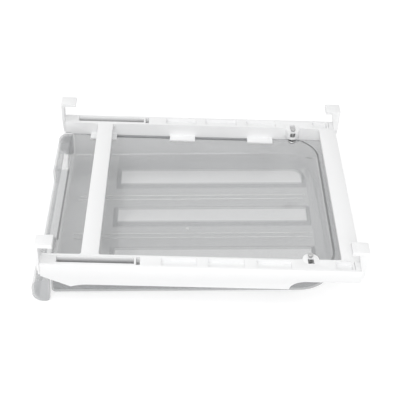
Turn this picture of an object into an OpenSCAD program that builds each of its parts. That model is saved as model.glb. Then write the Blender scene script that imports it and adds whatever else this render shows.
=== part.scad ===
// Pull-out drawer organizer that hangs under a fridge shelf.
// Frame: X front (-) to rear (+), Y right (-) to left (+), Z up, millimetres.
// Origin: middle of the plane that the four hook tabs rest on, the shelf's top surface.

/* [Frame] */
// Length of the frame, front to rear
frame_l = 325; // [300:1:360]
// Width of the frame over both rails
frame_w = 264; // [240:1:300]
// Free height between hook tab and rail top, for the shelf
shelf_gap = 20.9; // [14:0.1:26]
// Width of each rail
rail_w = 16.4; // [15.4:0.1:18]
// Wall thickness of the rails
wall = 2.4; // [2:0.1:2.6]
// Depth of the rail's outer skirt
skirt_h = 27; // [25:0.5:30]
// Width of the front crossbar
bar_w = 17.7; // [14:0.1:20]
// Width of the rear cross plate
plate_w = 19.8; // [16:0.1:21]

/* [Hooks] */
// Length of a hook tab along the rail
tab_l = 17.4; // [14:0.2:22]
// Width of a hook tab
tab_w = 15.6; // [14:0.1:22]
// Thickness of a hook tab
tab_t = 4.4; // [2.5:0.1:5]
// Length of the sliding arm inside the rail
arm_l = 96.2; // [80:0.2:98]

/* [Drawer] */
// Wall thickness of the clear tray
tray_t = 2.2; // [1.6:0.1:2.6]
// Radius of the tray's rear corners in plan
corner_r = 38; // [30:1:50]
// Slope of the tray floor, rising to the rear
floor_deg = 2.5; // [0:0.1:3]
// Half width of the lowered middle of the front
scoop_half = 62; // [50:1:80]

/* [Hidden] */
$fn = 64;
eps = 0.05;
x0 = -frame_l / 2;
x1 = frame_l / 2;
y_out = frame_w / 2;
y_in = y_out - rail_w;

// rail section, heights below the rail top
inner_h = 16.5;
web_t = 7;
cell_d = 5;
pocket_d = 12;
pocket_end = x0 + 100.2;
block_end = pocket_end + 2.3;
block_h = 14;
lip_t = 1.7;
lip_w = 5;
lip_x0 = x0 + 32.5;
lip_x1 = x1 - 74.5;
nose_x = x0 + 30;
nose_h = skirt_h + 3;
end_h = 16.2;
cut_x = x1 - 55.5;
cut_l = 17;

// open cells in the rail top, as start and length from the front end
cell_s = [121.3, 168.6, 218];
cell_len = [36.2, 37.3, 35.4];
rear_cell_s = 298;
rear_cell_l = 17.2;
plug_s = frame_l - 7.7;

// posts of the hooks
post_t = 3.5;

// hold-down tabs under the inner wall
hold_s = [30.7, 126, 219.3];
hold_l = [31.2, 30.2, 30.5];
hold_w = 10;
hold_t = 1.6;

// sprung plunger of each rail
catch_x = x1 - 51.5;
catch_y = y_in - 5;
boss_y = y_in - 0.3;
boss_r = 8.5;
boss_h = 11;
slot_w = 6.2;
slot_floor = 8.4;
bridge_t = 2.4;
pin_r = 1.3;
bore_r = 1.6;
lift = 2.3;

// tray, heights below the rail top
rim_z = -17;
rim_t = 2;
tray_y = y_in + 4.4;
tray_x0 = x0 + 7.5;
tray_x1 = x1 - 21.3;
floor_z0 = -43.8;
edge_z = -(skirt_h - lip_t) + 0.3;
rim_y = y_out - wall - 1;
rim_x0 = x0 + 14.5;
rim_x1 = x1 - 15;
edge_x1 = cut_x - cut_l;
front_x = tray_x0;
front_d = 18.3;
front_z = -56;
ear_z = -12;
ear_d = 12;
scoop_z = -30;
end_z = -26;
grip_set = 2.2;
grip_half = 66;
ear_y = y_in - 3.6;
end_y = y_out - 4;

// everything below is drawn with Z = 0 at the rail top and then lowered
module at_rail() { translate([0, 0, -shelf_gap]) children(); }
module left() { at_rail() children(); }
module right() { at_rail() mirror([0, 1, 0]) children(); }

// a bar along X from the front end of the frame
module run(s, l, ya, yb, za, zb) {
    translate([x0 + s, ya, za]) cube([l, yb - ya, zb - za]);
}

// side profile of the outer skirt in X and Z
module skirt_2d() {
    polygon([[x0, 0], [x0, -end_h], [nose_x, -nose_h],
        for (i = [1 : 8]) [nose_x + 17 * i / 8, -skirt_h - 3 * pow(1 - i / 8, 2)],
        for (a = [0 : 7.5 : 90])
            [cut_x - cut_l * cos(a), -skirt_h + (skirt_h - end_h) * sin(a)],
        [x1, -end_h], [x1, 0]]);
}

module rail() {
    difference() {
        union() {
            run(0, frame_l, y_in, y_out, -web_t, 0);
            run(0, frame_l, y_in, y_in + wall, -inner_h, 0);
            run(0, block_end - x0, y_in, y_out, -block_h, 0);
            translate([0, y_out, 0]) rotate([90, 0, 0]) linear_extrude(wall) skirt_2d();
            translate([lip_x0, y_out - wall - lip_w, -skirt_h])
                cube([lip_x1 - lip_x0, lip_w + eps, lip_t]);
            for (i = [0 : 2])
                run(hold_s[i], hold_l[i], y_in - hold_w, y_in + eps, -inner_h, hold_t - inner_h);
        }
        // long pocket for the sliding arm, open at the front
        run(-1, pocket_end - x0 + 1, y_in + wall, y_out - wall, -pocket_d, 1);
        // shallow cells of the rail top
        for (i = [0 : 2])
            run(cell_s[i], cell_len[i], y_in + wall, y_out - wall, -cell_d, 1);
        run(rear_cell_s, rear_cell_l, y_in + wall, y_out - wall, -cell_d, 1);
        // pocket for the foot of the rear hook
        run(plug_s, 10, y_in + wall, y_out - wall, -cell_d, 1);
        // seat of the round boss
        translate([catch_x, boss_y, -boss_h]) cylinder(r = boss_r, h = boss_h + 1);
    }
}

// crossbar between the rails with soft corners, hollow underneath
module crossbar(xa, w, fl, fr) {
    h = 5;
    r = 2.5;
    difference() {
        union() {
            translate([xa, -y_in, -h]) cube([w, 2 * y_in, h]);
            for (s = [-1, 1]) {
                if (fl) fillet(xa, s, -1, r, h);
                if (fr) fillet(xa + w, s, 1, r, h);
            }
        }
        translate([xa + 2, -y_in + 3, -h - 1]) cube([w - 4, 2 * y_in - 6, h - 1.2]);
    }
}

module fillet(xc, s, dir, r, h) {
    translate([0, 0, -h]) linear_extrude(h) difference() {
        translate([dir > 0 ? xc : xc - r, s > 0 ? y_in - r : -y_in]) square([r, r]);
        translate([xc + dir * r, s * (y_in - r)]) circle(r = r);
    }
}

// tab and post of a hook at the front end, its post leaning in by lean at the tab;
// the rear hook is its mirror
module hook(bottom, play, lean) {
    py0 = y_in + 0.4;
    py1 = y_out - 0.4;
    translate([x0 - post_t, py1 - tab_w, shelf_gap]) cube([tab_l, tab_w, tab_t]);
    translate([0, py1, 0]) rotate([90, 0, 0]) linear_extrude(py1 - py0)
        polygon([[x0 - post_t, shelf_gap + tab_t - 1], [x0 - post_t + 0.5, -2],
            [x0 - 1.8, -bottom], [x0 - play, -bottom], [x0 - play, 0],
            [x0 - play + min(1, lean) * 1.5, 0], [x0 - play + lean, shelf_gap],
            [x0 - play + lean, shelf_gap + tab_t - 1]]);
}

module front_hook() {
    a0 = y_in + wall + 0.3;
    a1 = y_out - wall - 0.3;
    hook(14.5, 0.3, 0);
    difference() {
        union() {
            run(-0.4, 16.5, a0, a1, -pocket_d + 0.3, 0);
            run(-0.4, arm_l + 0.4, a0, a1, -pocket_d + 0.3, -0.2);
        }
        // open trough behind the flush plate
        run(16.1, arm_l - 18.1, a0 + 1.4, a1 - 1.4, -pocket_d + 1.9, 1);
    }
}

module rear_hook() {
    mirror([1, 0, 0]) {
        hook(11, 0, 6.5);
        run(-0.1, 7.3, y_in + wall + 0.2, y_out - wall - 0.2, -cell_d, 0);
    }
}

module catch_boss() {
    difference() {
        translate([catch_x, boss_y, -boss_h]) cylinder(r = boss_r, h = boss_h);
        difference() {
            translate([catch_x - slot_w / 2, boss_y - boss_r - 1, -slot_floor])
                cube([slot_w, boss_r + 1 + 6.8, slot_floor + 1]);
            // bridge over the slot that the pin passes through
            translate([catch_x - slot_w / 2 - 1, catch_y - 2.7, -bridge_t])
                cube([slot_w + 2, 5.4, bridge_t]);
        }
        translate([catch_x, catch_y, -boss_h - 1]) cylinder(r = bore_r, h = boss_h + 2);
    }
}

module catch_pin() {
    translate([catch_x, catch_y, 0]) rotate_extrude() polygon([
        [0, 2.7], [2.3, 2.7], [2.8, 2.2], [2.8, 0.3], [pin_r, 0.3],
        [pin_r, -slot_floor + 1.1], [2.7, -slot_floor + 1.1], [2.7, -slot_floor + 0.1],
        [pin_r, -slot_floor + 0.1], [pin_r, -13.4], [4.4, -13.4], [5, -14], [5, -15.6],
        [3.9, -16.7], [0, -16.7]]);
}

// coil between the bridge and the collar of the pin
spring_r = 2.25;
wire_r = 0.35;
spring_z0 = -slot_floor + 1.1 + wire_r + 0.05;
spring_z1 = -bridge_t - wire_r - 0.05;
spring_turns = 3;
spring_n = 20;
wire_n = 8;
function coil_z(t) = spring_z0 + (spring_z1 - spring_z0) * t;
function coil_pt(i, j) = let (t = i / (spring_n * spring_turns), a = 360 * spring_turns * t,
    b = 360 * j / wire_n, r = spring_r + wire_r * cos(b))
    [r * cos(a), r * sin(a), coil_z(t) + wire_r * sin(b)];

module catch_spring() {
    n = spring_n * spring_turns;
    pts = [for (i = [0 : n]) for (j = [0 : wire_n - 1]) coil_pt(i, j)];
    sides = [for (i = [0 : n - 1]) for (j = [0 : wire_n - 1])
        [i * wire_n + j, i * wire_n + (j + 1) % wire_n,
            (i + 1) * wire_n + (j + 1) % wire_n, (i + 1) * wire_n + j]];
    start = [for (j = [wire_n - 1 : -1 : 0]) j];
    end = [for (j = [0 : wire_n - 1]) n * wire_n + j];
    translate([catch_x, catch_y, 0]) polyhedron(pts, concat(sides, [start, end]), convexity = 6);
}

// plan of the tray, drawn in by d
module tray_plan(d) {
    r = corner_r - d;
    xa = tray_x0 + d;
    xb = tray_x1 - d;
    yh = tray_y - d;
    translate([xa, -yh]) square([xb - r - xa, 2 * yh]);
    translate([xb - r - eps, -(yh - r)]) square([r + eps, 2 * (yh - r)]);
    for (s = [-1, 1]) translate([xb - r, s * (yh - r)]) circle(r = r, $fn = 96);
}

// side profile of the tray, drawn in by d, with its rounded foot at the rear
function floor_at(x) = floor_z0 + tan(floor_deg) * x;
module tray_side(d) {
    r = 20 - d;
    xb = tray_x1 - d;
    zc = floor_at(xb - r) - tray_t + d + r;
    polygon([[tray_x0 + d, 0], [tray_x0 + d, floor_at(tray_x0) - tray_t + d],
        [xb - r, floor_at(xb - r) - tray_t + d],
        for (a = [6 : 6 : 84]) [xb - r + r * sin(a), zc - r * cos(a)],
        [xb, zc], [xb, 0]]);
}

module tray_solid(d, top) {
    intersection() {
        translate([0, 0, -80]) linear_extrude(80 + top) tray_plan(d);
        translate([0, 200, 0]) rotate([90, 0, 0]) linear_extrude(400) tray_side(d);
    }
}

// edges of the long side corners of the tray, taken off along the sloping floor; the round
// crosses the side wall by eps, so that it ends in a clean edge
module side_round(d) {
    r = 5 - d;
    for (s = [-1, 1]) translate([0, s * (tray_y - d - r + eps), floor_z0 - tray_t + d + r])
        rotate([0, -floor_deg, 0]) translate([0, 0, -r]) difference() {
            translate([-200, s > 0 ? 0 : -r - 1, -1]) cube([400, r + 1, r + 1]);
            translate([-201, 0, r]) rotate([0, 90, 0]) cylinder(r = r, h = 402);
        }
}

// raised flat bars of the floor, hollow underneath, and the fine ridges between them
bar_h = 3;
bar_x0 = -94.5;
bar_l = 217;
bar_y = [-70, 0, 70];
bar_half = [15.2, 13.7, 15.2];
ridge_y = [30, 37];
ridge_x0 = -140;
ridge_l = 262;
module on_floor() {
    translate([0, 0, floor_z0]) rotate([0, -floor_deg, 0]) children();
}

// plan of bar i, drawn in by d, with its outer rear corner rounded
module bar_plan(i, d) {
    w = bar_half[i] - d;
    r = (i == 1 ? 2.5 : 16) - d;
    s = i == 0 ? -1 : 1;
    translate([bar_x0 + d, bar_y[i]]) {
        translate([0, -w]) square([bar_l - 2 * d - r, 2 * w]);
        translate([0, s > 0 ? -w : -w + r]) square([bar_l - 2 * d, 2 * w - r]);
        translate([bar_l - 2 * d - r, s * (w - r)]) circle(r = r);
    }
}

module floor_relief() {
    on_floor() {
        for (i = [0 : 2]) translate([0, 0, -eps]) linear_extrude(bar_h + eps) bar_plan(i, 0);
        for (s = [-1, 1]) for (y = ridge_y) translate([ridge_x0, s * y - 0.6, -eps])
            cube([ridge_l, 1.2, 0.7 + eps]);
    }
}

module floor_hollows() {
    on_floor() for (i = [0 : 2])
        translate([0, 0, -tray_t - 1]) linear_extrude(bar_h + 1) bar_plan(i, 2);
}

module drawer_tray() {
    color([0.72, 0.74, 0.76, 0.5]) at_rail() difference() {
        union() {
            difference() {
                union() {
                    difference() {
                        tray_solid(0, rim_z);
                        side_round(0);
                    }
                    // flat rim that the rails carry, narrower behind the end of the skirt
                    translate([rim_x0, -rim_y, rim_z - rim_t])
                        cube([edge_x1 - rim_x0, 2 * rim_y, rim_t]);
                    translate([edge_x1 - 1, -rim_y + 3, rim_z - rim_t])
                        cube([rim_x1 - edge_x1 + 1, 2 * rim_y - 6, rim_t]);
                }
                difference() {
                    tray_solid(tray_t, 1);
                    side_round(tray_t);
                }
                // lowered middle of the front wall
                scoop(0, tray_x0 - 1, tray_x0 + tray_t + 1);
            }
            for (s = [-1, 1]) {
                // turned-down edge that runs on the lip
                translate([rim_x0, s > 0 ? rim_y - 2 : -rim_y, edge_z])
                    cube([edge_x1 - rim_x0, 2, rim_z - rim_t - edge_z + eps]);
                // stop lug at the rear end of the rim
                translate([rim_x1 - 7.5, s > 0 ? rim_y - 9 : -rim_y + 3, rim_z - eps])
                    cube([7.5, 6, 5]);
            }
            floor_relief();
        }
        floor_hollows();
    }
}

// finger scoop between the ears of the front, grown by d
module scoop(d, xa, xb) {
    hb = scoop_half + 0.47 * d;
    ht = scoop_half + 33.3 + 1.3 * d;
    translate([xa, 0, 0]) rotate([90, 0, 90]) linear_extrude(xb - xa)
        polygon([[-hb, scoop_z - d], [hb, scoop_z - d], [ht, 10], [-ht, 10]]);
}

// left half of a disc
module half_disc(r) {
    intersection() {
        circle(r = r);
        translate([-r - 1, -r - 1]) square([r + 1, 2 * r + 2]);
    }
}

// rounded profile of the grip in X and Z, set back by set, its top at height top, drawn in by d
module grip_2d(top, set, d) {
    r = 11 - d;
    rb = 7 - set - d;
    xf = front_x - front_d + set + d;
    xb = front_x - d - rb;
    zb = front_z + d;
    zt = top - d;
    translate([xf + r, zb + r]) half_disc(r);
    translate([xf + r, zt - r]) half_disc(r);
    translate([xb, zb + rb]) rotate(180) half_disc(rb);
    translate([xf, zb + r]) square([r, zt - zb - 2 * r]);
    translate([xf + r - eps, zb]) square([xb - xf - r + 2 * eps, zt - zb]);
    translate([xb - eps, zb + rb]) square([front_x - xb + eps, zt - zb - rb]);
}

// profile of the ears that stand on the grip beside the scoop, drawn in by d
module ear_2d(d) {
    xa = front_x - ear_d + d;
    polygon([[front_x, scoop_z - 6], [xa, scoop_z - 6], [xa, end_z], [xa + 3, ear_z - d],
        [front_x, ear_z - d]]);
}

// extrudes a profile in X and Z over the span ya to yb of each half
module both_sides(ya, yb) {
    for (s = [0, 1]) mirror([0, s, 0])
        translate([0, yb, 0]) rotate([90, 0, 0]) linear_extrude(yb - ya) children();
}

module front_solid(d) {
    translate([0, end_y - d, 0]) rotate([90, 0, 0]) linear_extrude(2 * (end_y - d))
        grip_2d(scoop_z, grip_set, d);
    both_sides(grip_half + d, end_y - d) grip_2d(end_z, 0, d);
    difference() {
        both_sides(scoop_half, ear_y - d) ear_2d(d);
        scoop(d, front_x - ear_d - 1, front_x + 1);
    }
}

module drawer_front() {
    color([0.68, 0.70, 0.72, 0.6]) at_rail() difference() {
        front_solid(0);
        difference() {
            front_solid(tray_t);
            // rear wall of the raised ends
            for (s = [-1, 1]) translate([front_x - tray_t, s > 0 ? scoop_half : -ear_y, scoop_z])
                cube([tray_t + 1, ear_y - scoop_half, 30]);
            for (s = [-1, 1]) translate([front_x - tray_t, s > 0 ? tray_y : -end_y, -80])
                cube([tray_t + 1, end_y - tray_y, 80]);
        }
        // opening along the underside
        translate([front_x - 12, -end_y + tray_t, front_z - 1]) cube([13, 2 * (end_y - tray_t), 8]);
    }
}

white = [0.95, 0.95, 0.94];
steel = [0.62, 0.63, 0.65];

module rail_left() { color(white) left() rail(); }
module rail_right() { color(white) right() rail(); }
module front_crossbar() { color(white) at_rail() crossbar(x0 + 40, bar_w, true, true); }
module rear_cross_plate() { color(white) at_rail() crossbar(x1 - plate_w, plate_w, true, false); }
module rear_hook_left() { color(white) left() rear_hook(); }
module rear_hook_right() { color(white) right() rear_hook(); }
module front_hook_left() { color(white) left() front_hook(); }
module front_hook_right() { color(white) right() front_hook(); }
module catch_boss_left() { color(white) left() catch_boss(); }
module catch_boss_right() { color(white) right() catch_boss(); }
module catch_pin_left() { color(steel) left() catch_pin(); }
module catch_pin_right() { color(steel) right() catch_pin(); }
module catch_spring_left() { color(steel) left() catch_spring(); }
module catch_spring_right() { color(steel) right() catch_spring(); }

rail_left();
rail_right();
front_crossbar();
rear_cross_plate();
rear_hook_left();
rear_hook_right();
front_hook_left();
front_hook_right();
catch_boss_left();
catch_boss_right();
catch_pin_left();
catch_pin_right();
catch_spring_left();
catch_spring_right();
drawer_tray();
drawer_front();
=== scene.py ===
import math

import bmesh
import bpy
from mathutils import Matrix, Vector


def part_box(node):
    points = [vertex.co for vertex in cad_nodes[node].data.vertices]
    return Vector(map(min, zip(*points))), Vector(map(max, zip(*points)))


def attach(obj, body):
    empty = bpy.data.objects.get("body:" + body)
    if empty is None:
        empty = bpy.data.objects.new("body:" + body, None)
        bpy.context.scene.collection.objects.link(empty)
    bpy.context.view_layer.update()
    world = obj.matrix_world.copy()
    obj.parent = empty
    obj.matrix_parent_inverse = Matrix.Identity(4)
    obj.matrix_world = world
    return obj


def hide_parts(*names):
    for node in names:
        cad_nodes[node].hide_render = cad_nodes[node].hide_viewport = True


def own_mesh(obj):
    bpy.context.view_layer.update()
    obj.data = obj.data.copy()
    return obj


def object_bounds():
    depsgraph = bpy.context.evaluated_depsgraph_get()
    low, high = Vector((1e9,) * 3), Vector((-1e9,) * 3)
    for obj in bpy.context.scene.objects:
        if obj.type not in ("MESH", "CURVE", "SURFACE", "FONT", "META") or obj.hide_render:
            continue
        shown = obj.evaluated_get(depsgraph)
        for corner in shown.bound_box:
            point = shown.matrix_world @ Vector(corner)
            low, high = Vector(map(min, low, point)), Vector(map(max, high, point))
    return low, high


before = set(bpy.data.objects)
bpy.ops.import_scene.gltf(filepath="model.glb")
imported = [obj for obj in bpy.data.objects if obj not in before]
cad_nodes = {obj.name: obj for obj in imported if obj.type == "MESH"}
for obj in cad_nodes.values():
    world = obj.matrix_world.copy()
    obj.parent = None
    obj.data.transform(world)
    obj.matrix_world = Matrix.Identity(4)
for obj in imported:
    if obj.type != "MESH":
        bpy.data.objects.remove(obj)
cad_box = [list(v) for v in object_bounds()]

# The scene is worked out in millimetres with z = 0 at the rail top, and put in place at the end.
MM = 0.001


def corners(node):
    """Lowest and highest corner of a CAD node in millimetres, with z from the shelf's top."""
    return [[round(v / MM, 1) for v in corner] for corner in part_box(node)]


RAIL_TOP = corners("rail_left")[1][2]
TRAY_LOW, TRAY_HIGH = corners("drawer_tray")

# the tray: its plan, the height of its rim and its wall
TRAY_X0, TRAY_X1, TRAY_Y = TRAY_LOW[0], 141.2, 120.0
RIM_Z, WALL_T = -17.0, 2.2
CORNER_R, FRONT_R = 38.0, 4.0       # rear and front corners in plan
LONG_EDGE_R, FOOT_R = 5.0, 20.0     # between floor and walls, and at the rear
FLOOR_0, SLOPE = -43.8, math.tan(math.radians(2.5))
DRAWN_DEPTH = 30.0                  # depth of the tray as drawn, before its floor is tilted
DRAWN_FLOOR = RIM_Z - DRAWN_DEPTH
BAND_Z = -20.2                      # lower end of the band of the side walls beside the rails, which gets painted light

# the raised bars of its floor: middle, half width of the foot, outer side
BARS = [(-70, 18.0, -1), (0, 16.4, 0), (70, 18.0, 1)]
BAR_X0, BAR_X1, BAR_H, BAR_SLOPE, BAR_R = -98.0, 126.0, 3.0, 5.4, 18.0
CORNER_STEPS = 4                    # straight cuts that make the round of a bar's corner
BARS_Y = BARS[-1][0] + BARS[-1][1]  # outside of the outer bars

# the lowered middle of its front wall, with a ramp at each end
SCOOP_Z, SCOOP_HALF, RAMP_H, RAMP_L = -30, 62, 18, 15
SCOOP_EDGE_Y = SCOOP_HALF + 16
FRONT_ZONE = 3                      # how far behind the front wall's outside its finish reaches
REAR_EDGE_X = 124                   # behind this the rim's cut edge shows dark, as painted shade

# the rim that the rails carry, its turned-down edges and its stop lugs
RIM_X0, RIM_X1, RIM_Y, RIM_T = -148.0, TRAY_HIGH[0], 125.6, 1.8
RIM_TOP = RIM_Z - 0.2
TURNED_X1, TURNED_Y0, TURNED_Y1, TURNED_FOOT = 90, RIM_Y + 0.1, TRAY_HIGH[1], -25.0
LUG_L, LUG_W, LUG_TOP = 7.5, 6.0, -12
PLAY = 0.1                          # between pieces that would otherwise share a face

# the fine ribs of the floor, and the round mark that the mould left
RIB_X0, RIB_X1, RIB_YS, RIB_HALF, RIB_H, RIB_TAPER = -140, 122, (30, 37), 0.8, 0.7, 0.4
NUB_AT, NUB_R0, NUB_R1, NUB_H = (-14, -22, 0.3), 2.4, 2.0, 1.0
SUNK = 0.2                          # how far a raised detail reaches into what carries it

# the ridges across the tips of the rear tabs
RIDGE_COUNT, RIDGE_STEP, RIDGE_HALF, RIDGE_H, RIDGE_INSET = 3, 1.8, 0.35, 0.25, 1.2

# where the flat ends of the drawer's front begin, and the foot and sides of its upright ears; the ends
# get painted shade, the ears painted light
GRIP_END_Y, EAR_FOOT, EAR_Y0, EAR_Y1 = 120, -29.9, 60, 113

# the troughs of the sliding arms, and the depth at which and over which painted shade greys their inside
TROUGH_X0, TROUGH_X1, TROUGH_Y, TROUGH_HALF = -146.2, -68.0, 123.8, 4.2
SHADE_FROM, SHADE_OVER = 1.0, 5.6

LEVEL = 1e-3                        # points this close are one, and lie on the same plane
MERGE = 1e-5                        # the same for the points of a CAD node, in metres


# ------------------------------------------------------------ finishes
class Wire:
    """A socket of a node. Sums written on it become Math nodes."""

    def __init__(self, owner, socket):
        self.owner, self.socket = owner, socket

    def sum_of(self, operation, *values):
        return self.owner.add("ShaderNodeMath", {"operation": operation}, dict(enumerate(values)))

    def __add__(self, other):
        return self.sum_of("ADD", self, other)

    def __radd__(self, other):
        return self.sum_of("ADD", other, self)

    def __sub__(self, other):
        return self.sum_of("SUBTRACT", self, other)

    def __rsub__(self, other):
        return self.sum_of("SUBTRACT", other, self)

    def __mul__(self, other):
        return self.sum_of("MULTIPLY", self, other)

    def __rmul__(self, other):
        return self.sum_of("MULTIPLY", other, self)

    def __truediv__(self, other):
        return self.sum_of("DIVIDE", self, other)

    def __pow__(self, other):
        return self.sum_of("POWER", self, other)

    def __abs__(self):
        return self.sum_of("ABSOLUTE", self)

    def __gt__(self, other):
        return self.sum_of("GREATER_THAN", self, other)

    def __lt__(self, other):
        return self.sum_of("LESS_THAN", self, other)

    def larger(self, other):
        return self.sum_of("MAXIMUM", self, other)


class Nodes:
    """The nodes of a finish or of the world."""

    def __init__(self, tree):
        self.tree = tree

    def add(self, kind, settings, sockets, *outputs):
        """Adds a node and gives the wires of its named outputs, or the wire of its first one."""
        node = self.tree.nodes.new(kind)
        for key, value in settings.items():
            setattr(node, key, value)
        for key, value in sockets.items():
            self.feed(node.inputs[key], value)
        wires = [Wire(self, node.outputs[key]) for key in outputs or (0,)]
        return wires if len(wires) > 1 else wires[0]

    def feed(self, socket, value):
        if isinstance(value, Wire):
            self.tree.links.new(value.socket, socket)
        else:
            socket.default_value = value

    def seen_directly(self):
        """1 for what the camera, a reflection or clear plastic sees, 0 for light that falls on things."""
        camera, glossy, through = self.add("ShaderNodeLightPath", {}, {}, "Is Camera Ray",
                                           "Is Glossy Ray", "Is Transmission Ray")
        return camera.larger(glossy).larger(through)


class Finish(Nodes):
    """A material under construction around its Principled shader."""

    # A colour mix has its sockets under names that its other kinds share, so they go by number.
    MIX_AMOUNT, MIX_FIRST, MIX_SECOND, MIX_COLOUR = 0, 6, 7, 2

    def __init__(self, name):
        self.material = bpy.data.materials.new(name)
        self.material.use_nodes = True
        super().__init__(self.material.node_tree)
        self.shader = self.tree.nodes["Principled BSDF"]
        self.place = self.add("ShaderNodeTexCoord", {}, {}, "Object")

    def set(self, values):
        for key, value in values.items():
            self.feed(self.shader.inputs[key], value)

    def noise(self, scale, detail=2.0, rough=0.5, packed=None):
        where = self.place
        if packed:
            where = self.add("ShaderNodeMapping", {}, {"Vector": where, "Scale": packed})
        return self.add("ShaderNodeTexNoise", {},
                        {"Vector": where, "Scale": scale, "Detail": detail, "Roughness": rough})

    def blend(self, amount, first, second):
        sockets = {self.MIX_AMOUNT: amount, self.MIX_FIRST: first, self.MIX_SECOND: second}
        return self.add("ShaderNodeMix", {"data_type": "RGBA"}, sockets, self.MIX_COLOUR)

    def bump(self, height, strength, distance):
        sockets = {"Strength": strength, "Distance": distance, "Height": height}
        self.set({"Normal": self.add("ShaderNodeBump", {}, sockets)})


def white_plastic(name, painted_trough_shade=False):
    """Glossy white plastic; with painted_trough_shade, painted shade greys the deep inside of the sliding
    arms' troughs.
    """
    f = Finish(name)
    colour = f.blend(f.noise(14.0, 3.0), (0.905, 0.91, 0.915, 1), (0.93, 0.93, 0.93, 1))
    if painted_trough_shade:
        # painted shade: grey that deepens below the rail top inside the arms' troughs
        x, y, z = f.add("ShaderNodeSeparateXYZ", {}, {"Vector": f.place}, "X", "Y", "Z")
        across = abs(abs(y) - TROUGH_Y * MM) < TROUGH_HALF * MM
        along_arm = (x > TROUGH_X0 * MM) * (x < TROUGH_X1 * MM)
        shade = ((RAIL_TOP - SHADE_FROM) * MM - z) / (SHADE_OVER * MM)
        deep = f.add("ShaderNodeClamp", {}, {"Value": shade})
        colour = f.blend(deep * across * along_arm, colour, (0.46, 0.46, 0.465, 1))
    f.set({"Base Color": colour, "Roughness": 0.3 + 0.12 * f.noise(60.0),
           "Coat Weight": 0.15, "Coat Roughness": 0.2})
    f.bump(f.noise(2600.0, 1.0), 0.06, 0.0002)
    return f.material


def clear_plastic(name, smoke, body, edge=0.12, ripple=0.02):
    """Smoky clear plastic: smoke is how much a wall holds back, more towards its turned edges. Most
    copies below set smoke and body apart as painted light or painted shade.
    """
    f = Finish(name)
    turned = f.add("ShaderNodeLayerWeight", {}, {"Blend": 0.35}, "Facing")
    cloud = f.noise(9.0, 2.0)
    f.set({"Base Color": f.blend(cloud, body, [min(1, c * 1.08) for c in body[:3]] + [1]),
           "Alpha": smoke + edge * turned ** 3.0 + 0.03 * cloud,
           "Roughness": 0.05 + 0.05 * f.noise(120.0), "IOR": 1.49, "Specular IOR Level": 0.8,
           "Coat Weight": 0.6, "Coat Roughness": 0.04})
    if ripple:
        f.bump(f.noise(12.0, 1.0), ripple, 0.0008)
    return f.material


def steel(name, shade, packed):
    """Bright steel with a fine grain; packed is how many times closer it lies along each axis."""
    f = Finish(name)
    grain = f.noise(900.0, 4.0, 0.7, packed)
    f.set({"Base Color": f.blend(grain, [shade * 0.8] * 3 + [1], [shade * 1.15] * 3 + [1]),
           "Metallic": 1.0, "Roughness": 0.2 + 0.2 * grain})
    f.bump(grain, 0.1, 0.0001)
    return f.material


SMOKE_GREY, GRIP_GREY = (0.33, 0.34, 0.35, 1), (0.48, 0.49, 0.50, 1)

WHITE = white_plastic("white_plastic")
# painted shade: the sliding arms' plastic greys inside their troughs
WHITE_ARM_PAINTED_SHADE = white_plastic("white_plastic_arm_painted_shade", True)
CLEAR = clear_plastic("smoky_clear_floor", 0.35, SMOKE_GREY)
# painted shade: a darker copy of the plastic for the walls, the rim's top and the floor beside and behind
# the bars
WALL_PAINTED_SHADE = clear_plastic("smoky_clear_wall_painted_shade", 0.40, SMOKE_GREY)
# painted light: a clearer, lighter copy of the plastic for the bars' tops and the rim's turned-down
# strips
WINDOW_PAINTED_LIGHT = clear_plastic("smoky_clear_window_painted_light", 0.22, (0.38, 0.39, 0.40, 1))
# painted light: a paler, denser copy of the plastic for the upper side walls beside the rails, over the
# shade there
BAND_PAINTED_LIGHT = clear_plastic("smoky_clear_band_painted_light", 0.75, (0.60, 0.61, 0.62, 1), 0.05)
# painted shade: a darker copy of the plastic for the bars' slopes
SLOPED_PAINTED_SHADE = clear_plastic("smoky_clear_slope_painted_shade", 0.45, (0.30, 0.31, 0.32, 1))
# painted shade: a near-black copy of the plastic for the rim's rear cut edge and the edge of the lowered
# front
EDGE_PAINTED_SHADE = clear_plastic("smoky_clear_edge_painted_shade", 0.68, (0.10, 0.105, 0.11, 1), 0.2)
RIM = clear_plastic("smoky_clear_rim", 0.43, SMOKE_GREY, 0.05)
# painted highlight: a pale copy of the plastic for the floor's fine ribs and the mould's mark
RIB_PAINTED_HIGHLIGHT = clear_plastic("smoky_clear_rib_painted_highlight", 0.55, (0.85, 0.85, 0.85, 1), 0.0, 0.0)
# painted light: a clearer copy of the plastic for the grip's upright ears
EAR_PAINTED_LIGHT = clear_plastic("smoky_clear_ear_painted_light", 0.14, GRIP_GREY, 0.05)
GRIP = clear_plastic("smoky_clear_grip", 0.34, GRIP_GREY, 0.06)
# painted shade: a darker copy of the plastic for the grip's flat ends
CAP_PAINTED_SHADE = clear_plastic("smoky_clear_cap_painted_shade", 0.52, (0.44, 0.45, 0.46, 1), 0.06)
STEEL = steel("turned_steel", 0.55, (1, 1, 6))
WIRE = steel("spring_steel", 0.42, (1, 1, 1))

TRAY_FINISHES = [CLEAR, WINDOW_PAINTED_LIGHT, EDGE_PAINTED_SHADE, WALL_PAINTED_SHADE, SLOPED_PAINTED_SHADE, BAND_PAINTED_LIGHT]
RIM_FINISHES = [RIM, WINDOW_PAINTED_LIGHT]
GRIP_FINISHES = [GRIP, CAP_PAINTED_SHADE, EAR_PAINTED_LIGHT]


# ------------------------------------------------------------ ways to make a piece
def add_object(name, data):
    obj = bpy.data.objects.new(name, data)
    bpy.context.scene.collection.objects.link(obj)
    return obj


def mesh_from(name, bm):
    mesh = bpy.data.meshes.new(name)
    bm.to_mesh(mesh)
    bm.free()
    return mesh


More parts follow.
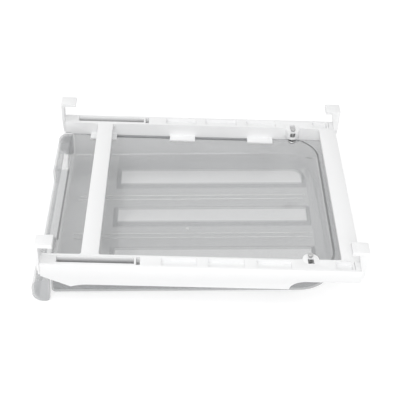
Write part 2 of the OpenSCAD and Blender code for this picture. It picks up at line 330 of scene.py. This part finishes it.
def in_place(name, bm):
    """Turns a bmesh in rail-top millimetres into a mesh in the frame's metres."""
    bmesh.ops.recalc_face_normals(bm, faces=bm.faces)
    bmesh.ops.translate(bm, verts=bm.verts, vec=(0, 0, RAIL_TOP))
    bmesh.ops.scale(bm, verts=bm.verts, vec=(MM, MM, MM))
    return mesh_from(name, bm)


def show(name, mesh, finishes, body, stands_for):
    """Puts a mesh in the scene as a piece that rides on a body and stands for CAD nodes, if any."""
    obj = add_object(name, mesh)
    for finish in finishes:
        mesh.materials.append(finish)
    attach(obj, body)
    if stands_for:
        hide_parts(*stands_for)
    return obj


def soften(obj, width, segments=2):
    """Small moulded radius along an object's edges."""
    mod = obj.modifiers.new("moulded_edge", "BEVEL")
    mod.width = width * MM
    mod.segments = segments
    mod.limit_method = "ANGLE"
    mod.angle_limit = math.radians(28)
    mod.harden_normals = True
    obj.data.shade_smooth()
    return obj


def copy_of(node):
    """A bmesh of a CAD node's own shape, its loose triangles merged."""
    bm = bmesh.new()
    bm.from_mesh(cad_nodes[node].data)
    bmesh.ops.remove_doubles(bm, verts=bm.verts, dist=MERGE)
    return bm


def moulded_from(node, name, finishes, body, width, segments=2):
    """The CAD node's own shape with its edges softened as a mould leaves them."""
    bm = copy_of(node)
    bmesh.ops.dissolve_limit(bm, angle_limit=math.radians(1), verts=bm.verts, edges=bm.edges)
    piece = show(name, mesh_from(name, bm), finishes, body, [node])
    return soften(piece, width, segments)


def block(bm, lo, hi):
    """A box from corner lo to corner hi, added to a bmesh."""
    made = bmesh.ops.create_cube(bm, size=1)["verts"]
    bmesh.ops.scale(bm, verts=made, vec=[b - a for a, b in zip(lo, hi)])
    bmesh.ops.translate(bm, verts=made, vec=[(a + b) / 2 for a, b in zip(lo, hi)])
    return made


def side_block(bm, side, lo, hi):
    """A box drawn for the left, added there (side 1) or mirrored to the right (side -1)."""
    near, far = sorted((side * lo[1], side * hi[1]))
    block(bm, (lo[0], near, lo[2]), (hi[0], far, hi[2]))


def bevel(bm, edges, offset, segments):
    bmesh.ops.bevel(bm, geom=edges, offset=offset, offset_type="OFFSET", segments=segments,
                    profile=0.5, affect="EDGES", clamp_overlap=True, material=-1)


def cut(bm, faces, point, normal):
    """Splits faces along a plane."""
    geom = dict.fromkeys(faces)
    for f in faces:
        geom.update(dict.fromkeys([*f.edges, *f.verts]))
    bmesh.ops.bisect_plane(bm, geom=list(geom), dist=1e-5, plane_co=point, plane_no=normal)


def upright(edge):
    """True for an edge that runs straight up."""
    a, b = edge.verts
    run = b.co - a.co
    return abs(run.z) > 0.9 * run.length


def level(element, z):
    """True for a face or edge that lies flat at height z."""
    return all(abs(v.co.z - z) < LEVEL for v in element.verts)


def paint(face, finishes, finish):
    """Gives a face one of its piece's finishes."""
    face.material_index = finishes.index(finish)


# ------------------------------------------------------------ the tray
def underside(x):
    """Height of the tray's outside at x: the sloping floor and the round that ends it at the rear."""
    start = TRAY_X1 - FOOT_R
    floor = FLOOR_0 - WALL_T + SLOPE * min(x, start)
    if x <= start:
        return floor
    return floor + FOOT_R - math.sqrt(max(0.0, FOOT_R ** 2 - (x - start) ** 2))


def drawn_floor(bm):
    """The faces of the floor that are still flat, as drawn."""
    return [f for f in bm.faces if level(f, DRAWN_FLOOR)]


def draw_tray():
    """An open box with the tray's plan, its rounded edges and a flat floor."""
    bm = bmesh.new()
    block(bm, (TRAY_X0, -TRAY_Y, DRAWN_FLOOR), (TRAY_X1, TRAY_Y, RIM_Z))
    bevel(bm, [e for e in bm.edges if upright(e) and e.verts[0].co.x > 0], CORNER_R, 16)
    bevel(bm, [e for e in bm.edges if upright(e) and e.verts[0].co.x < TRAY_X0 + 1], FRONT_R, 4)
    bmesh.ops.delete(bm, geom=[f for f in bm.faces if level(f, RIM_Z)], context="FACES")
    bevel(bm, [e for e in bm.edges if level(e, DRAWN_FLOOR)], LONG_EDGE_R, 5)
    return bm


def round_bar_corner(bm, mid_x, mid_y, side):
    """Cuts the round outer rear corner of a bar, about its middle, in short straight steps."""
    cut(bm, drawn_floor(bm), (0, mid_y, DRAWN_FLOOR), (0, 1, 0))
    for step in range(CORNER_STEPS):
        turn = math.radians(90 * (step + 0.5) / CORNER_STEPS)
        out_x, out_y = math.cos(turn), side * math.sin(turn)
        near = []
        for f in drawn_floor(bm):
            c = f.calc_center_median()
            if mid_x < c.x < BAR_X1 and 0 < side * (c.y - mid_y) < BAR_R:
                near.append(f)
        cut(bm, near, (mid_x + BAR_R * out_x, mid_y + BAR_R * out_y, DRAWN_FLOOR), (out_x, out_y, 0))


def mark_bars(bm):
    """Cuts the outlines of the three bars into the flat floor."""
    for x in (BAR_X0, BAR_X1, BAR_X1 - BAR_R):
        cut(bm, drawn_floor(bm), (x, 0, DRAWN_FLOOR), (1, 0, 0))
    for y, half, side in BARS:
        for edge in (-half, half):
            cut(bm, drawn_floor(bm), (0, y + edge, DRAWN_FLOOR), (0, 1, 0))
        if side:
            round_bar_corner(bm, BAR_X1 - BAR_R, y + side * (half - BAR_R), side)


def in_bar(c, y, half, side):
    """True for a point within a bar's outline, whose outer rear corner is round."""
    if abs(c.y - y) > half or not BAR_X0 < c.x < BAR_X1:
        return False
    past = (c.x - BAR_X1 + BAR_R, side * (c.y - y) - half + BAR_R)
    return not (side and min(past) > 0 and math.hypot(*past) > BAR_R)


def raise_bars(bm):
    """Insets the marked bars for their slopes and lifts their tops, with painted shade on the slopes and
    painted light on the tops.
    """
    for bar in BARS:
        top = [f for f in drawn_floor(bm) if in_bar(f.calc_center_median(), *bar)]
        before = set(bm.faces)
        bmesh.ops.inset_region(bm, faces=top, thickness=BAR_SLOPE, depth=0, use_even_offset=True)
        # the slopes get painted shade
        for f in set(bm.faces) - before:
            paint(f, TRAY_FINISHES, SLOPED_PAINTED_SHADE)
        for v in {v for f in top for v in f.verts}:
            v.co.z = DRAWN_FLOOR + BAR_H
        # the tops get painted light
        for f in top:
            paint(f, TRAY_FINISHES, WINDOW_PAINTED_LIGHT)


def tilt_floor(bm):
    """Lets the floor rise to the rear and end in a round foot."""
    for v in bm.verts:
        deep = (RIM_Z - v.co.z) / DRAWN_DEPTH
        v.co.z = RIM_Z - deep * (RIM_Z - (FLOOR_0 - WALL_T) - SLOPE * v.co.x)
    start = TRAY_X1 - FOOT_R
    for turn in range(0, 90, 9):
        cut(bm, bm.faces[:], (start + FOOT_R * math.sin(math.radians(turn)), 0, 0), (1, 0, 0))
    for v in bm.verts:
        if v.co.x > start:
            v.co.z = max(v.co.z, underside(v.co.x))


def front_wall(bm):
    return [f for f in bm.faces if all(v.co.x < TRAY_X0 + 0.01 for v in f.verts)]


def lower_front(bm):
    """Cuts the lowered middle out of the front wall."""
    cut(bm, front_wall(bm), (0, 0, SCOOP_Z), (0, 0, 1))
    for side in (-1, 1):
        cut(bm, front_wall(bm), (0, side * SCOOP_HALF, SCOOP_Z), (0, RAMP_H, -side * RAMP_L))
    gone = []
    for f in front_wall(bm):
        c = f.calc_center_median()
        if c.z > SCOOP_Z and abs(c.y) < SCOOP_HALF + (c.z - SCOOP_Z) * RAMP_L / RAMP_H:
            gone.append(f)
    bmesh.ops.delete(bm, geom=gone, context="FACES")


def thicken(bm):
    """Gives the drawn outside its wall, inwards."""
    bmesh.ops.remove_doubles(bm, verts=bm.verts, dist=LEVEL)
    bmesh.ops.recalc_face_normals(bm, faces=bm.faces)
    if max(bm.faces, key=lambda f: f.calc_center_median().x).normal.x < 0:
        bmesh.ops.reverse_faces(bm, faces=bm.faces)
    bmesh.ops.solidify(bm, geom=bm.faces[:], thickness=WALL_T)


def finish_tray(bm):
    """Picks the finish of each face by where it lies and how it is turned: the plain plastic, or copies
    of it with painted shade or painted light.
    """
    for f in bm.faces:
        c = f.calc_center_median()
        on_front = c.x < TRAY_X0 + WALL_T and c.z > SCOOP_Z - 1
        beside_bars = abs(c.y) > BARS_Y and c.x > BAR_X0
        # painted shade on the rim: near-black at its rear cut edge, the darker wall copy elsewhere
        if level(f, RIM_Z):
            paint(f, TRAY_FINISHES, EDGE_PAINTED_SHADE if c.x > REAR_EDGE_X else WALL_PAINTED_SHADE)
        # painted shade along the edge of the lowered front
        elif on_front and abs(f.normal.x) < 0.1 and abs(c.y) < SCOOP_EDGE_Y:
            paint(f, TRAY_FINISHES, EDGE_PAINTED_SHADE)
        # painted light on the upper side walls beside the rails
        elif abs(f.normal.y) > 0.9 and c.z > BAND_Z:
            paint(f, TRAY_FINISHES, BAND_PAINTED_LIGHT)
        elif c.x < TRAY_X0 + FRONT_ZONE:
            paint(f, TRAY_FINISHES, CLEAR)
        # painted shade on the walls and on the floor beside and behind the bars
        elif TRAY_FINISHES[f.material_index] == CLEAR:
            if abs(f.normal.z) < 0.7 or c.x > BAR_X1 or beside_bars:
                paint(f, TRAY_FINISHES, WALL_PAINTED_SHADE)


def make_tray():
    bm = draw_tray()
    mark_bars(bm)
    raise_bars(bm)
    tilt_floor(bm)
    cut(bm, bm.faces[:], (0, 0, BAND_Z), (0, 0, 1))
    lower_front(bm)
    thicken(bm)
    finish_tray(bm)
    tray = show("tray_shell", in_place("tray_shell", bm), TRAY_FINISHES, "drawer",
                ["drawer_tray"])
    tray.data.shade_smooth()
    tray.data.set_sharp_from_angle(angle=math.radians(35))


def flat_rim():
    """The flat ring between the tray's plan and the rim's outside, open at the front."""
    bm = bmesh.new()
    inner_y = TRAY_Y - PLAY
    block(bm, (RIM_X0 + 0.01, -inner_y, RIM_TOP - 1), (TRAY_X1 - PLAY, inner_y, RIM_TOP))
    bevel(bm, [e for e in bm.edges if upright(e) and e.verts[0].co.x > 0], CORNER_R - PLAY, 16)
    bmesh.ops.delete(bm, geom=bm.faces[:], context="FACES_ONLY")
    low = [v for v in bm.verts if v.co.z < RIM_TOP - 0.5]
    bmesh.ops.delete(bm, geom=low, context="VERTS")
    outer = bmesh.ops.create_grid(bm, x_segments=1, y_segments=1, size=0.5)["verts"]
    bmesh.ops.scale(bm, verts=outer, vec=(RIM_X1 - RIM_X0, 2 * RIM_Y, 1))
    bmesh.ops.translate(bm, verts=outer, vec=((RIM_X0 + RIM_X1) / 2, 0, RIM_TOP))
    bmesh.ops.delete(bm, geom=bm.faces[:], context="FACES_ONLY")
    bmesh.ops.bridge_loops(bm, edges=bm.edges[:])
    sliver = [f for f in bm.faces if max(v.co.x for v in f.verts) < RIM_X0 + 0.1]
    bmesh.ops.delete(bm, geom=sliver, context="FACES")
    bmesh.ops.solidify(bm, geom=bm.faces[:], thickness=-RIM_T)
    return bm


def make_rim():
    """Flat rim that the rails carry, with its turned-down edges and the stop lugs."""
    bm = flat_rim()
    for side in (-1, 1):
        side_block(bm, side, (RIM_X0, TURNED_Y0, TURNED_FOOT), (TURNED_X1, TURNED_Y1, RIM_TOP))
        side_block(bm, side, (RIM_X1 - LUG_L, RIM_Y - LUG_W, RIM_Z - PLAY), (RIM_X1, RIM_Y, LUG_TOP))
    # the turned-down strips get painted light, which lifts the shade under the rails
    for f in bm.faces:
        if abs(f.calc_center_median().y) > (RIM_Y + TURNED_Y0) / 2:
            paint(f, RIM_FINISHES, WINDOW_PAINTED_LIGHT)
    rim = show("tray_rim", in_place("tray_rim", bm), RIM_FINISHES, "drawer",
               ["drawer_tray"])
    soften(rim, 0.5)


def on_floor(verts):
    """Lifts a shape drawn at z = 0 onto the sloping floor."""
    for v in verts:
        v.co.z += FLOOR_0 + SLOPE * v.co.x


def make_floor_ribs():
    """Four fine ribs between the bars, narrower at the top, and the mould's round mark, all pale as
    painted highlight.
    """
    bm = bmesh.new()
    for middle in [side * y for side in (-1, 1) for y in RIB_YS]:
        rib = block(bm, (RIB_X0, middle - RIB_HALF, -SUNK), (RIB_X1, middle + RIB_HALF, RIB_H))
        for v in rib:
            if v.co.z > 0:
                v.co.y += RIB_TAPER if v.co.y < middle else -RIB_TAPER
        on_floor(rib)
    nub = bmesh.ops.create_cone(bm, cap_ends=True, segments=24, radius1=NUB_R0, radius2=NUB_R1,
                                depth=NUB_H)["verts"]
    bmesh.ops.translate(bm, verts=nub, vec=NUB_AT)
    on_floor(nub)
    ribs = show("tray_floor_ribs", in_place("tray_floor_ribs", bm), [RIB_PAINTED_HIGHLIGHT], "drawer", ())
    soften(ribs, 0.2)


# ------------------------------------------------------------ the other pieces
def make_grip():
    """The drawer's front, with painted shade on its flat ends and painted light on its upright ears."""
    grip = moulded_from("drawer_front", "grip_front", GRIP_FINISHES, "drawer", 0.8, 3)
    for face in grip.data.polygons:
        beside = abs(face.center.y)
        # painted shade on the flat ends
        if abs(face.normal.y) > 0.9 and beside > GRIP_END_Y * MM:
            paint(face, GRIP_FINISHES, CAP_PAINTED_SHADE)
        # painted light on the upright ears
        elif face.center.z > (RAIL_TOP + EAR_FOOT) * MM and EAR_Y0 * MM < beside < EAR_Y1 * MM:
            paint(face, GRIP_FINISHES, EAR_PAINTED_LIGHT)


def make_tab_ridges(side):
    """Three fine ridges across the inner tip of a rear hook's tab."""
    bm = bmesh.new()
    low, high = corners("rear_hook_" + side)
    tab_top = high[2] - RAIL_TOP
    for i in range(RIDGE_COUNT):
        x = low[0] + RIDGE_INSET + i * RIDGE_STEP
        block(bm, (x - RIDGE_HALF, low[1] + RIDGE_INSET, tab_top - SUNK),
              (x + RIDGE_HALF, high[1] - RIDGE_INSET, tab_top + RIDGE_H))
    name = "tab_ridges_" + side
    soften(show(name, in_place(name, bm), [WHITE], "frame", ()), 0.12)


def make_coil(side):
    """The catch's coil, a smooth-shaded copy of the CAD spring with a mesh of its own, riding on the pin.
    """
    mesh = mesh_from("coil_" + side, copy_of("catch_spring_" + side))
    coil = show("coil_" + side, mesh, [WIRE], "pin_" + side, ["catch_spring_" + side])
    mesh.shade_smooth()
    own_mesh(coil)


make_tray()
make_rim()
make_floor_ribs()
make_grip()
for side in ("left", "right"):
    make_tab_ridges(side)
    moulded_from("rail_" + side, "rail_moulding_" + side, [WHITE], "frame", 0.45)
    moulded_from("rear_hook_" + side, "rear_hook_moulding_" + side, [WHITE], "frame", 0.6)
    moulded_from("front_hook_" + side, "front_hook_moulding_" + side, [WHITE_ARM_PAINTED_SHADE], "hook_" + side, 0.6)
    moulded_from("catch_boss_" + side, "boss_moulding_" + side, [WHITE], "frame", 0.4)
    moulded_from("catch_pin_" + side, "turned_pin_" + side, [STEEL], "pin_" + side, 0.2, 2)
    make_coil(side)
moulded_from("front_crossbar", "crossbar_moulding", [WHITE], "frame", 0.5)
moulded_from("rear_cross_plate", "rear_plate_moulding", [WHITE], "frame", 0.5)


# ------------------------------------------------------------ studio
# The camera's turns are in radians, its place is in millimetres with z from the rail top.
CAMERA_PITCH, CAMERA_YAW, CAMERA_ROLL = 0.68719, -0.03558, 0.04814
CAMERA_AT = (-29.866, -822.998, 655.314)
FOCAL_PX, PHOTO_PX, SENSOR_MM = 950, 400, 36.0
PURE_BLACK, PURE_WHITE = (0, 0, 0, 1), (1, 1, 1, 1)
FLOOR_LIFT = (0.45, 0.45, 0.45, 1)      # what the floor gives off where it is seen
FLOOR_GAP = 0.0003                      # metres from the drawer's lowest point down to the floor


def set_camera():
    turn = Matrix.Rotation(CAMERA_YAW, 3, "Z")
    ahead = turn @ Vector((0, math.cos(CAMERA_PITCH), -math.sin(CAMERA_PITCH)))
    up = turn @ Vector((0, math.sin(CAMERA_PITCH), math.cos(CAMERA_PITCH)))
    right = turn @ Vector((1, 0, 0))
    c, s = math.cos(CAMERA_ROLL), math.sin(CAMERA_ROLL)
    axes = Matrix((c * right + s * up, -s * right + c * up, -ahead))
    place = axes.transposed().to_4x4()
    place.translation = (Vector(CAMERA_AT) + Vector((0, 0, RAIL_TOP))) * MM
    cam = add_object("camera", bpy.data.cameras.new("camera"))
    cam.matrix_world = place
    cam.data.sensor_width = SENSOR_MM
    cam.data.lens = SENSOR_MM * FOCAL_PX / PHOTO_PX
    cam.data.clip_start = 0.05
    cam.data.clip_end = 20
    bpy.context.scene.camera = cam


def make_floor():
    """White floor under the drawer, lifted to white where it is seen and keeping the shadow."""
    bm = bmesh.new()
    bmesh.ops.create_grid(bm, x_segments=1, y_segments=1, size=3)
    bmesh.ops.translate(bm, verts=bm.verts, vec=(0, 0, cad_box[0][2] - FLOOR_GAP))
    floor = add_object("floor", mesh_from("floor", bm))
    f = Finish("floor_white")
    f.set({"Base Color": (0.8, 0.8, 0.8, 1), "Roughness": 1, "Specular IOR Level": 0,
           "Emission Color": f.blend(f.seen_directly(), PURE_BLACK, FLOOR_LIFT),
           "Emission Strength": 1})
    floor.data.materials.append(f.material)


def make_world():
    """White surroundings, at full strength where they are seen and dimmer where they light things."""
    world = bpy.data.worlds.new("studio")
    bpy.context.scene.world = world
    world.use_nodes = True
    air = Nodes(world.node_tree)
    back = air.tree.nodes["Background"]
    air.feed(back.inputs["Color"], PURE_WHITE)
    air.feed(back.inputs["Strength"], 0.7 + 0.3 * air.seen_directly())


def light(name, place, aim, size, watts):
    """A round softbox, with its place, aim and size in metres."""
    lamp = bpy.data.lights.new(name, "AREA")
    lamp.shape = "DISK"
    lamp.size = size
    lamp.energy = watts
    obj = add_object(name, lamp)
    obj.location = place
    obj.rotation_euler = (Vector(aim) - Vector(place)).to_track_quat("-Z", "Y").to_euler()


set_camera()
make_floor()
make_world()
light("softbox_above", place=(-0.4, -0.3, 1.6), aim=(0, 0, 0), size=1.2, watts=3.2)
light("softbox_front", place=(-0.2, -1.5, 0.95), aim=(0, 0, -0.03), size=1.2, watts=11.8)
bpy.context.scene.view_settings.view_transform = "Standard"
